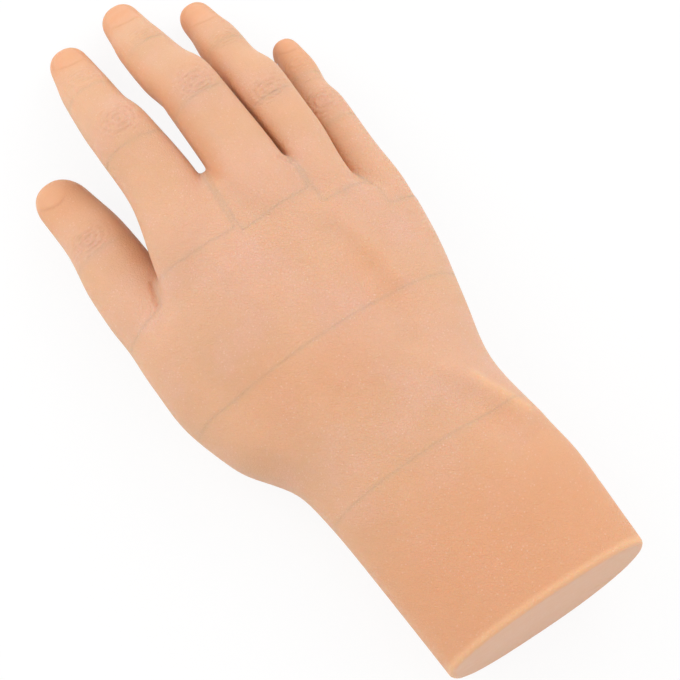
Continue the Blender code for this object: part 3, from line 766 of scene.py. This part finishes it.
def joint_places(digits, skin, normals):
    """Place of each point along and across its nearest finger joint or web, and how much it shows folds."""
    places = np.zeros((len(skin.points), 3))
    for number, digit in enumerate(digits):
        mine = np.flatnonzero(skin.owner == number)
        gap = skin.along[mine][:, None] - digit.hinges[None, 1:] - digit.folds[0]
        nearest = np.argmin(np.abs(gap), axis=1)
        places[mine, 0] = gap[np.arange(len(mine)), nearest]
        places[mine, 1] = skin.across[mine] * digit.at(digit.width, skin.along[mine]) - digit.folds[1]
        strength = np.where(nearest == 1, TIP_JOINT_GRADE, 1.0)
        close = 1.0 - smooth_step(FOLD_REACH, FOLD_REACH + FOLD_FADE, np.abs(places[mine, 0]))
        places[mine, 2] = strength * close * smooth_step(0.25, 0.7, skin.above[mine])
    lines = np.array(WEB_FOLDS["lines"])
    offset = skin.points[:, :2] - WEB_FOLDS["place"]
    away = np.linalg.norm(offset, axis=1) / WEB_FOLDS["reach"]
    web = np.flatnonzero((away < 1.0) & (normals[:, 2] > 0.2))
    places[web, 0] = offset[web] @ (lines[1], -lines[0])
    places[web, 1] = offset[web] @ lines
    close = 1.0 - smooth_step(0.5, 0.95, away[web])
    places[web, 2] = WEB_FOLDS["shown"] * close * smooth_step(0.2, 0.5, normals[web, 2])
    return places


def spots(points, places):
    """Soft patches of colour round places given across, along and reach in mm."""
    total = np.zeros(len(points))
    for x, y, reach in places:
        total = np.maximum(total, swelling(np.hypot(points[:, 0] - x, points[:, 1] - y), reach))
    return total


def paint(hand, digits, skin):
    """Keep where the skin is rosy, amber or cut, where shade is painted amber, and where a highlight is
    painted on the wrist's rim and the crest, for the finish to read.
    """
    points = skin.points
    normals = read_normals(hand)
    upward = smooth_step(0.0, 0.5, normals[:, 2])
    rosy = spots(points, ROSY_PLACES) * upward
    amber = np.zeros(len(points))
    for number, digit in enumerate(digits):
        mine = skin.owner == number
        ends = smooth_step(digit.length - AMBER_REACH, digit.length - AMBER_FULL * AMBER_REACH, skin.along)
        amber[mine] = np.maximum(amber, AMBER_TIPS.get(digit.name, 1.0) * ends)[mine]
        # painted shade in amber on the side that faces the neighbouring finger
        inner = smooth_step(0.3, 0.9, skin.across * SHADED_SIDE.get(digit.name, 0.0))
        inner *= smooth_step(*SHADED_SIDE_FROM, skin.along)
        amber[mine] = np.maximum(amber, SHADED_SIDE_SHARE * inner)[mine]
        over_joint = swelling(skin.along - digit.hinges[1] - digit.folds[0], JOINT_BLUSH)
        over_joint *= smooth_step(0.2, 0.8, skin.above)
        rosy[mine] = np.maximum(rosy, JOINT_BLUSH_SHARE * over_joint)[mine]
    amber = np.maximum(amber, AMBER_WRIST_SHARE * (1.0 - smooth_step(*AMBER_WRIST, points[:, 1])))
    # amber spots, the first three of them painted shade in the hollow below the crest and in the valley
    # beside the tendon
    amber = np.maximum(amber, AMBER_AND_SHADE_SHARE * spots(points, AMBER_AND_SHADE_PLACES) * upward)
    face = smooth_step(0.75, 0.97, -normals[:, 1]) * (points[:, 1] < WRIST_CUT + 1.0)
    # painted glow along the wrist's rounded rim and painted highlight along the crest
    rim = (1.0 - smooth_step(*RIM_HIGHLIGHT_BAND, points[:, 1] - WRIST_CUT)) * (1.0 - face)
    crest = CREST_HIGHLIGHT * swelling(beside(points, CREST), CREST_REACH) * upward
    keep_value(hand, "rosy", rosy)
    keep_value(hand, "amber", amber)
    keep_value(hand, "cut_face", face)
    keep_value(hand, "pale", np.maximum(rim, crest))


def read_edges(thing):
    ends = np.empty(len(thing.data.edges) * 2, int)
    thing.data.edges.foreach_get("vertices", ends)
    return ends.reshape(-1, 2)


def borders(hand, skin):
    """Points where the skin of one finger runs into the skin of the next, in the webs and over the palm."""
    edges = read_edges(hand)
    shared = edges[skin.owner[edges[:, 0]] != skin.owner[edges[:, 1]]]
    places = skin.points[np.unique(shared)]
    tree = KDTree(len(places))
    for number, place in enumerate(places):
        tree.insert(place, number)
    tree.balance()
    return tree


def divide(hand, digits, skin):
    """Name of each point's piece and how far it follows the body beyond the joint in that piece."""
    names = np.full(len(skin.points), "silicone_palm", dtype=object)
    names[skin.points[:, 1] < HEEL_PIECE] = "silicone_palm_heel"
    names[skin.points[:, 1] < WRIST_PIECE] = "silicone_wrist"
    rank = np.zeros(len(names), int)
    follow = {part: np.zeros(len(names)) for part in ("knuckle", "middle", "tip")}
    fixed = borders(hand, skin)
    for number, digit in enumerate(digits):
        mine = np.flatnonzero((skin.owner == number) & (skin.along > BEND_BEHIND))
        along = skin.along[mine]
        free = np.minimum(along - BEND_BEHIND, [fixed.find(place)[2] for place in skin.points[mine]])
        hinges = digit.hinges
        parts = ["knuckle"] + (["middle"] if len(hinges) == 3 else []) + ["tip"]
        for order, part in enumerate(parts):
            if order == 0:
                beyond, bend = free, digit.bend
            else:
                half = JOINT_HALF[part] * digit.grade
                beyond, bend = along - hinges[order] + half + BEND_MARGIN, 2 * half
            inside = beyond > 0
            names[mine[inside]] = f"silicone_{digit.name}_{part}"
            rank[mine[inside]] = order + 1
            follow[part][mine] = smooth_step(BEND_MARGIN, BEND_MARGIN + bend, beyond)
    return names, rank, follow


def split_hand(hand, names, rank):
    """Separate the hand by a throw-away material for each piece. Faces on a border go to the inner piece."""
    corners = np.empty(len(hand.data.loops), int)
    hand.data.loops.foreach_get("vertex_index", corners)
    starts = np.empty(len(hand.data.polygons), int)
    hand.data.polygons.foreach_get("loop_start", starts)
    order = sorted(set(names))
    number = np.array([order.index(name) for name in names])
    key = rank * len(order) + number
    first = np.minimum.reduceat(key[corners], starts) % len(order)
    for name in order:
        hand.data.materials.append(bpy.data.materials.new(name))
    hand.data.polygons.foreach_set("material_index", first.astype(np.int32))
    activate(hand)
    bpy.ops.object.mode_set(mode="EDIT")
    bpy.ops.mesh.select_all(action="SELECT")
    bpy.ops.mesh.separate(type="MATERIAL")
    bpy.ops.object.mode_set(mode="OBJECT")
    pieces = {}
    for piece in bpy.context.selected_objects:
        used = piece.data.polygons[0].material_index
        name = piece.data.materials[used].name
        piece.name = name
        piece.data.name = name
        piece.data.materials.clear()
        pieces[name] = piece
    for name in order:
        bpy.data.materials.remove(bpy.data.materials[name])
    return pieces


def keep_value(hand, name, values):
    attribute = hand.data.attributes.new(name, "FLOAT", "POINT")
    attribute.data.foreach_set("value", np.asarray(values, np.float32))


def keep_vector(hand, name, values):
    attribute = hand.data.attributes.new(name, "FLOAT_VECTOR", "POINT")
    attribute.data.foreach_set("vector", np.asarray(values, np.float32).ravel())


def take_vector(piece, name):
    values = np.empty(len(piece.data.vertices) * 3, np.float32)
    piece.data.attributes[name].data.foreach_get("vector", values)
    return values.reshape(-1, 3)


def take_value(piece, name):
    values = np.empty(len(piece.data.vertices), np.float32)
    piece.data.attributes[name].data.foreach_get("value", values)
    return values


def hang_pieces(pieces, digits):
    """Let each piece follow its bodies and stand for its solid."""
    for piece in pieces.values():
        normals = take_vector(piece, "whole_normal")
        piece.data.attributes.remove(piece.data.attributes["whole_normal"])
        piece.data.polygons.foreach_set("use_smooth", np.ones(len(piece.data.polygons), bool))
        piece.data.normals_split_custom_set_from_vertices(normals)
    for name in ("silicone_wrist", "silicone_palm_heel", "silicone_palm"):
        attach(pieces[name], "palm")
        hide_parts("palm_skin")
    for digit in digits:
        if len(digit.hinges) == 3:
            parts = (("knuckle", "palm", "base"), ("middle", "base", "middle"), ("tip", "middle", "tip"))
        else:
            parts = (("knuckle", "palm", "base"), ("tip", "base", "tip"))
        for order, (part, before, after) in enumerate(parts):
            piece = pieces[f"silicone_{digit.name}_{part}"]
            follow = take_value(piece, "follow_" + part)
            before_body = before if before == "palm" else f"{digit.name}_{before}"
            hinge = digit.at(digit.line, np.array([digit.hinges[order]]))[0]
            ahead = digit.at(digit.ahead, np.array([digit.hinges[order]]))[0]
            start = (hinge - BLEND_HALF * ahead) * MM
            end = (hinge + BLEND_HALF * ahead) * MM
            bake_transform(piece, before_body, f"{digit.name}_{after}", start, end)
            piece.data.attributes["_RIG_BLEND"].data.foreach_set("value", follow)
            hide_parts(f"{digit.name}_{after}_skin")
    for piece in pieces.values():
        for attribute in [a.name for a in piece.data.attributes if a.name.startswith("follow_")]:
            piece.data.attributes.remove(piece.data.attributes[attribute])


class Finish:
    """A node material under construction."""

    def __init__(self, name):
        self.material = bpy.data.materials.new(name)
        self.material.use_nodes = True
        self.nodes = self.material.node_tree.nodes
        self.links = self.material.node_tree.links
        self.surface = self.nodes["Principled BSDF"]

    def node(self, kind, settings=None, **inputs):
        made = self.nodes.new("ShaderNode" + kind)
        for name, value in (settings or {}).items():
            setattr(made, name, value)
        for name, value in inputs.items():
            self.feed(made.inputs[name.replace("_", " ")], value)
        return made

    def feed(self, socket, value):
        if isinstance(value, bpy.types.NodeSocket):
            self.links.new(value, socket)
        else:
            socket.default_value = value

    def place(self, attribute):
        return self.node("Attribute", dict(attribute_name=attribute)).outputs["Vector"]

    def value(self, attribute):
        return self.node("Attribute", dict(attribute_name=attribute)).outputs["Fac"]

    def noise(self, place, rate, detail, roughness=0.5):
        made = self.node("TexNoise", Vector=place, Scale=rate, Detail=detail, Roughness=roughness)
        return made.outputs["Fac"]

    def sums(self, operation, first, second=0.0):
        made = self.node("Math", dict(operation=operation))
        self.feed(made.inputs[0], first)
        self.feed(made.inputs[1], second)
        return made.outputs[0]

    def spread(self, value, low, high, new_low=0.0, new_high=1.0):
        made = self.node("MapRange", dict(interpolation_type="SMOOTHSTEP"), Value=value)
        made.inputs["From Min"].default_value = low
        made.inputs["From Max"].default_value = high
        made.inputs["To Min"].default_value = new_low
        made.inputs["To Max"].default_value = new_high
        return made.outputs["Result"]

    def mix(self, share, first, second, blend="MIX"):
        made = self.node("Mix", dict(data_type="RGBA", blend_type=blend))
        self.feed(made.inputs["Factor"], share)
        self.feed(made.inputs[6], first)
        self.feed(made.inputs[7], second)
        return made.outputs[2]

    def set(self, name, value):
        self.feed(self.surface.inputs[name], value)


def shade(red, green, blue):
    """Colour in linear light from its screen values, 0 to 255."""
    linear = [((c / 255 + 0.055) / 1.055) ** 2.4 if c > 10 else c / 255 / 12.92 for c in (red, green, blue)]
    return (*linear, 1.0)


def joint_folds(finish, noise):
    """Height of the oval rings and cross lines round the finger joints."""
    parts = finish.node("SeparateXYZ", Vector=finish.place("joint_place"))
    along, across, shown = parts.outputs["X"], parts.outputs["Y"], parts.outputs["Z"]
    wander = finish.sums("MULTIPLY", noise, FOLD_WANDER)
    flat = finish.sums("MULTIPLY", across, FOLD_OVAL)
    squares = finish.sums("ADD", finish.sums("POWER", along, 2.0), finish.sums("POWER", flat, 2.0))
    ring = finish.sums("SQRT", squares)
    rings = finish.sums("SINE", finish.sums("ADD", finish.sums("MULTIPLY", ring, FOLD_RING_RATE), wander))
    lines = finish.sums("SINE", finish.sums("ADD", finish.sums("MULTIPLY", along, FOLD_LINE_RATE), wander))
    near = finish.sums("MULTIPLY", finish.spread(ring, 2.0, FOLD_REACH, 1.0, 0.0), shown)
    both = finish.sums("ADD", rings, finish.sums("MULTIPLY", lines, 0.6))
    return finish.sums("MULTIPLY", both, near)


def powder_specks(finish, place, patches):
    """Tiny bright grains of powder, thicker in patches."""
    grains = finish.node("TexVoronoi", dict(feature="F1"), Vector=place, Scale=SPECK_RATE)
    chance = finish.node("SeparateColor", Color=grains.outputs["Color"]).outputs["Red"]
    dot = finish.spread(grains.outputs["Distance"], 0.1, 0.34, 1.0, 0.0)
    chosen = finish.spread(finish.sums("ADD", chance, finish.sums("MULTIPLY", patches, 1.6)), 1.25, 1.75)
    return finish.sums("MULTIPLY", dot, chosen)


def skin_cells(finish, place):
    """Distance from the wandering edges of the skin's fine cells."""
    drift = finish.node("TexNoise", Vector=place, Scale=DRIFT_RATE, Detail=1.0).outputs["Color"]
    wander = finish.node("VectorMath", dict(operation="SCALE"), Scale=SKIN_LINE_WANDER)
    finish.feed(wander.inputs[0], drift)
    bent = finish.node("VectorMath", dict(operation="ADD"))
    finish.feed(bent.inputs[0], place)
    finish.feed(bent.inputs[1], wander.outputs["Vector"])
    cells = finish.node("TexVoronoi", dict(feature="DISTANCE_TO_EDGE"), Vector=bent.outputs["Vector"],
                        Scale=SKIN_LINE_RATE)
    return cells.outputs["Distance"]


def silicone():
    """Skin colours laid over one another, with painted shade in the creases, fold troughs, skin lines and
    between the fingers and a painted highlight on the wrist's rim and crest, then folds, lines and grain as
    fine relief.
    """
    finish = Finish("powdered silicone")
    place = finish.place("skin_place")
    clouds = finish.noise(place, CLOUD_RATE, 3.0, 0.55)
    patches = finish.noise(place, PATCH_RATE, 2.0)
    mottle = finish.noise(place, MOTTLE_RATE, 4.0, 0.6)
    grain = finish.noise(place, GRAIN_RATE, 2.0, 0.6)
    nail = finish.value("nail")
    cut_face = finish.value("cut_face")
    plain = finish.sums("SUBTRACT", 1.0, finish.sums("MAXIMUM", nail, cut_face))
    colour = finish.mix(finish.spread(clouds, 0.38, 0.62), shade(*PEACH), shade(*SAND))
    pink = finish.spread(patches, 0.45, 0.72, 0.0, 0.5)
    pink = finish.sums("ADD", pink, finish.spread(mottle, 0.4, 0.75, 0.0, 0.25))
    pink = finish.sums("ADD", pink, finish.sums("MULTIPLY", finish.value("rosy"), ROSY_COVER))
    colour = finish.mix(pink, colour, shade(*ROSE))
    colour = finish.mix(finish.sums("MULTIPLY", finish.value("amber"), AMBER_COVER), colour, shade(*AMBER))
    colour = finish.mix(finish.spread(grain, 0.3, 0.7, 0.0, GRAIN_COVER), colour, shade(*GRAIN_AND_LINE_SHADE))
    cells = skin_cells(finish, place)
    # painted shade in the fine skin lines
    lines = finish.spread(cells, 0.0, 0.14, 1.0, 0.0)
    lines = finish.sums("MULTIPLY", lines, finish.spread(patches, 0.3, 0.65, 0.02, 0.12))
    colour = finish.mix(lines, colour, shade(*GRAIN_AND_LINE_SHADE))
    colour = finish.mix(cut_face, colour, shade(*CUT_FACE))
    # painted highlight on the wrist's rim and the crest
    colour = finish.mix(finish.sums("MULTIPLY", finish.value("pale"), HIGHLIGHT_COVER), colour, shade(*HIGHLIGHT_TINT))
    # painted shade in the pad creases and round the nails
    colour = finish.mix(finish.sums("MULTIPLY", finish.value("groove"), CREASE_SHADE_COVER), colour, shade(*CREASE_SHADE))
    folds = finish.sums("MULTIPLY", joint_folds(finish, mottle), plain)
    # painted shade in the troughs of the joint folds
    colour = finish.mix(finish.spread(folds, -1.3, -0.1, FOLD_SHADE_COVER, 0.0), colour, shade(*CREASE_SHADE))
    specks = finish.sums("MULTIPLY", powder_specks(finish, place, patches), plain)
    colour = finish.mix(finish.sums("MULTIPLY", specks, SPECK_COVER), colour, shade(*POWDER))
    finish.set("Base Color", colour)
    dull = finish.spread(mottle, 0.3, 0.7, 0.5, 0.62)
    finish.set("Roughness", finish.sums("SUBTRACT", dull, finish.sums("MULTIPLY", nail, 0.12)))
    finish.set("Specular IOR Level", 0.3)
    finish.set("Subsurface Weight", GLOW)
    finish.set("Subsurface Radius", GLOW_COLOUR)
    finish.set("Subsurface Scale", GLOW_DEPTH)
    relief = finish.sums("MULTIPLY", finish.spread(cells, 0.0, 0.16, 0.0, SKIN_LINES), plain)
    relief = finish.sums("ADD", relief, finish.sums("MULTIPLY", folds, JOINT_FOLDS))
    pits = finish.sums("MULTIPLY", finish.sums("SUBTRACT", 1.0, nail), SKIN_GRAIN)
    relief = finish.sums("ADD", relief, finish.sums("MULTIPLY", grain, pits))
    bump = finish.node("Bump", Strength=1.0, Distance=MM, Height=relief)
    finish.set("Normal", bump.outputs["Normal"])
    return finish.material


def nylon():
    finish = Finish("moulded nylon")
    place = finish.node("TexCoord").outputs["Object"]
    cloud = finish.noise(place, NYLON_RATE, 3.0)
    light, dark = NYLON
    finish.set("Base Color", finish.mix(finish.spread(cloud, 0.3, 0.7), shade(*light), shade(*dark)))
    finish.set("Roughness", finish.spread(cloud, 0.3, 0.7, 0.45, 0.6))
    return finish.material


def brushed_metal(name, light, dark):
    finish = Finish(name)
    place = finish.node("TexCoord").outputs["Object"]
    drawn = finish.node("Mapping", Vector=place)
    drawn.inputs["Scale"].default_value = BRUSH_STRETCH
    brush = finish.noise(drawn.outputs["Vector"], BRUSH_RATE, 3.0)
    finish.set("Base Color", finish.mix(finish.spread(brush, 0.3, 0.7), shade(*light), shade(*dark)))
    finish.set("Roughness", finish.spread(brush, 0.3, 0.7, 0.28, 0.45))
    finish.set("Metallic", 1.0)
    return finish.material


def dress(pieces):
    """Give every piece and every solid that still shows its finish."""
    skin_finish = silicone()
    for piece in pieces.values():
        piece.data.materials.append(skin_finish)
    inside = {
        "core": nylon(),
        "link": brushed_metal("brushed aluminium", *ALUMINIUM),
        "pin": brushed_metal("bright steel", *BRIGHT_STEEL),
        "rod": brushed_metal("plain steel", *PLAIN_STEEL),
    }
    for name, node in frame["nodes"].items():
        kind = next((kind for kind in inside if kind in name), None)
        if kind:
            node.data.materials.clear()
            node.data.materials.append(inside[kind])


def set_stage():
    """White floor: to the eye mostly its own white, with the hand's shadow still on it."""
    deselect()
    bpy.ops.mesh.primitive_plane_add(size=FLOOR_SIZE, location=(0.0, 0.0, FLOOR_DROP * MM))
    floor = bpy.context.object
    floor.name = "floor"
    paper = Finish("white paper")
    place = paper.node("TexCoord").outputs["Object"]
    fibre = paper.noise(place, PAPER_RATE, 2.0)
    paper.set("Base Color", paper.mix(fibre, (0.93, 0.93, 0.93, 1.0), (0.95, 0.95, 0.95, 1.0)))
    paper.set("Roughness", 0.9)
    paper.set("Specular IOR Level", 0.0)
    white = paper.node("Emission", Color=(1.0, 1.0, 1.0, 1.0), Strength=1.0)
    ray = paper.node("LightPath").outputs
    seen = paper.sums("MAXIMUM", ray["Is Camera Ray"], ray["Is Glossy Ray"])
    seen = paper.sums("MAXIMUM", seen, ray["Is Transmission Ray"])
    paper_mix = paper.node("MixShader", Fac=paper.sums("MULTIPLY", seen, FLOOR_WHITE))
    paper.links.new(paper.surface.outputs["BSDF"], paper_mix.inputs[1])
    paper.links.new(white.outputs["Emission"], paper_mix.inputs[2])
    paper.links.new(paper_mix.outputs["Shader"], paper.nodes["Material Output"].inputs["Surface"])
    floor.data.materials.append(paper.material)


def set_lights(right, up, back):
    """Soft lamps from the upper right and the left of the picture, and an even room light."""
    world = bpy.data.worlds.new("room")
    bpy.context.scene.world = world
    world.use_nodes = True
    sky = world.node_tree.nodes["Background"]
    sky.inputs["Color"].default_value = (1.0, 1.0, 1.0, 1.0)
    sky.inputs["Strength"].default_value = ROOM_LIGHT
    for name, (across, rise, toward), size, power in LAMPS:
        deselect()
        aim = Vector(CAMERA_TARGET) * MM
        place = aim + (across * right + rise * up + toward * back)
        bpy.ops.object.light_add(type="AREA", location=place)
        lamp = bpy.context.object
        lamp.name = name
        lamp.data.shape = "DISK"
        lamp.data.size = size
        lamp.data.energy = power
        lamp.rotation_euler = (place - aim).to_track_quat("Z", "Y").to_euler()


def aim_camera():
    """Set up the camera and return its right, up and backward directions."""
    side = math.radians(CAMERA_SIDE)
    rise = math.radians(CAMERA_ELEVATION)
    level = math.cos(side)
    back = Vector((-math.sin(side), -math.cos(rise) * level, math.sin(rise) * level)).normalized()
    right = Vector((0.0, 1.0, 0.0)).cross(back).normalized()
    up = back.cross(right)
    roll = math.radians(CAMERA_ROLL)
    turned_right = math.cos(roll) * right - math.sin(roll) * up
    turned_up = math.sin(roll) * right + math.cos(roll) * up
    data = bpy.data.cameras.new("camera")
    data.lens = CAMERA_LENS
    data.sensor_width = CAMERA_SENSOR
    data.sensor_fit = "HORIZONTAL"
    camera = bpy.data.objects.new("camera", data)
    bpy.context.scene.collection.objects.link(camera)
    place = Vector(CAMERA_TARGET) * MM + CAMERA_DISTANCE * MM * back
    camera.matrix_world = Matrix((
        (turned_right.x, turned_up.x, back.x, place.x),
        (turned_right.y, turned_up.y, back.y, place.y),
        (turned_right.z, turned_up.z, back.z, place.z),
        (0.0, 0.0, 0.0, 1.0)))
    bpy.context.scene.camera = camera
    return turned_right, turned_up, back


digits = make_digits()
hand = mould_hand(digits)
trim_wrist(hand)
skin = Skin(digits, read_points(hand))
on_palm = 1.0 - smooth_step(*SETTLE_FADE, skin.along)
settle(hand, on_palm * (skin.points[:, 1] > WRIST_CUT + SETTLE_FROM_CUT), SETTLING)
skin = Skin(digits, read_points(hand))
groove, nail = model_details(hand, digits, skin)
names, rank, follow = divide(hand, digits, skin)
for part, weights in follow.items():
    keep_value(hand, "follow_" + part, weights)
keep_vector(hand, "whole_normal", read_normals(hand))
keep_vector(hand, "skin_place", read_points(hand) * MM)
keep_vector(hand, "joint_place", joint_places(digits, skin, read_normals(hand)))
keep_value(hand, "groove", groove)
keep_value(hand, "nail", nail)
paint(hand, digits, skin)
pieces = split_hand(hand, names, rank)
hang_pieces(pieces, digits)
dress(pieces)
set_stage()
set_lights(*aim_camera())
bpy.context.scene.view_settings.view_transform = "Standard"
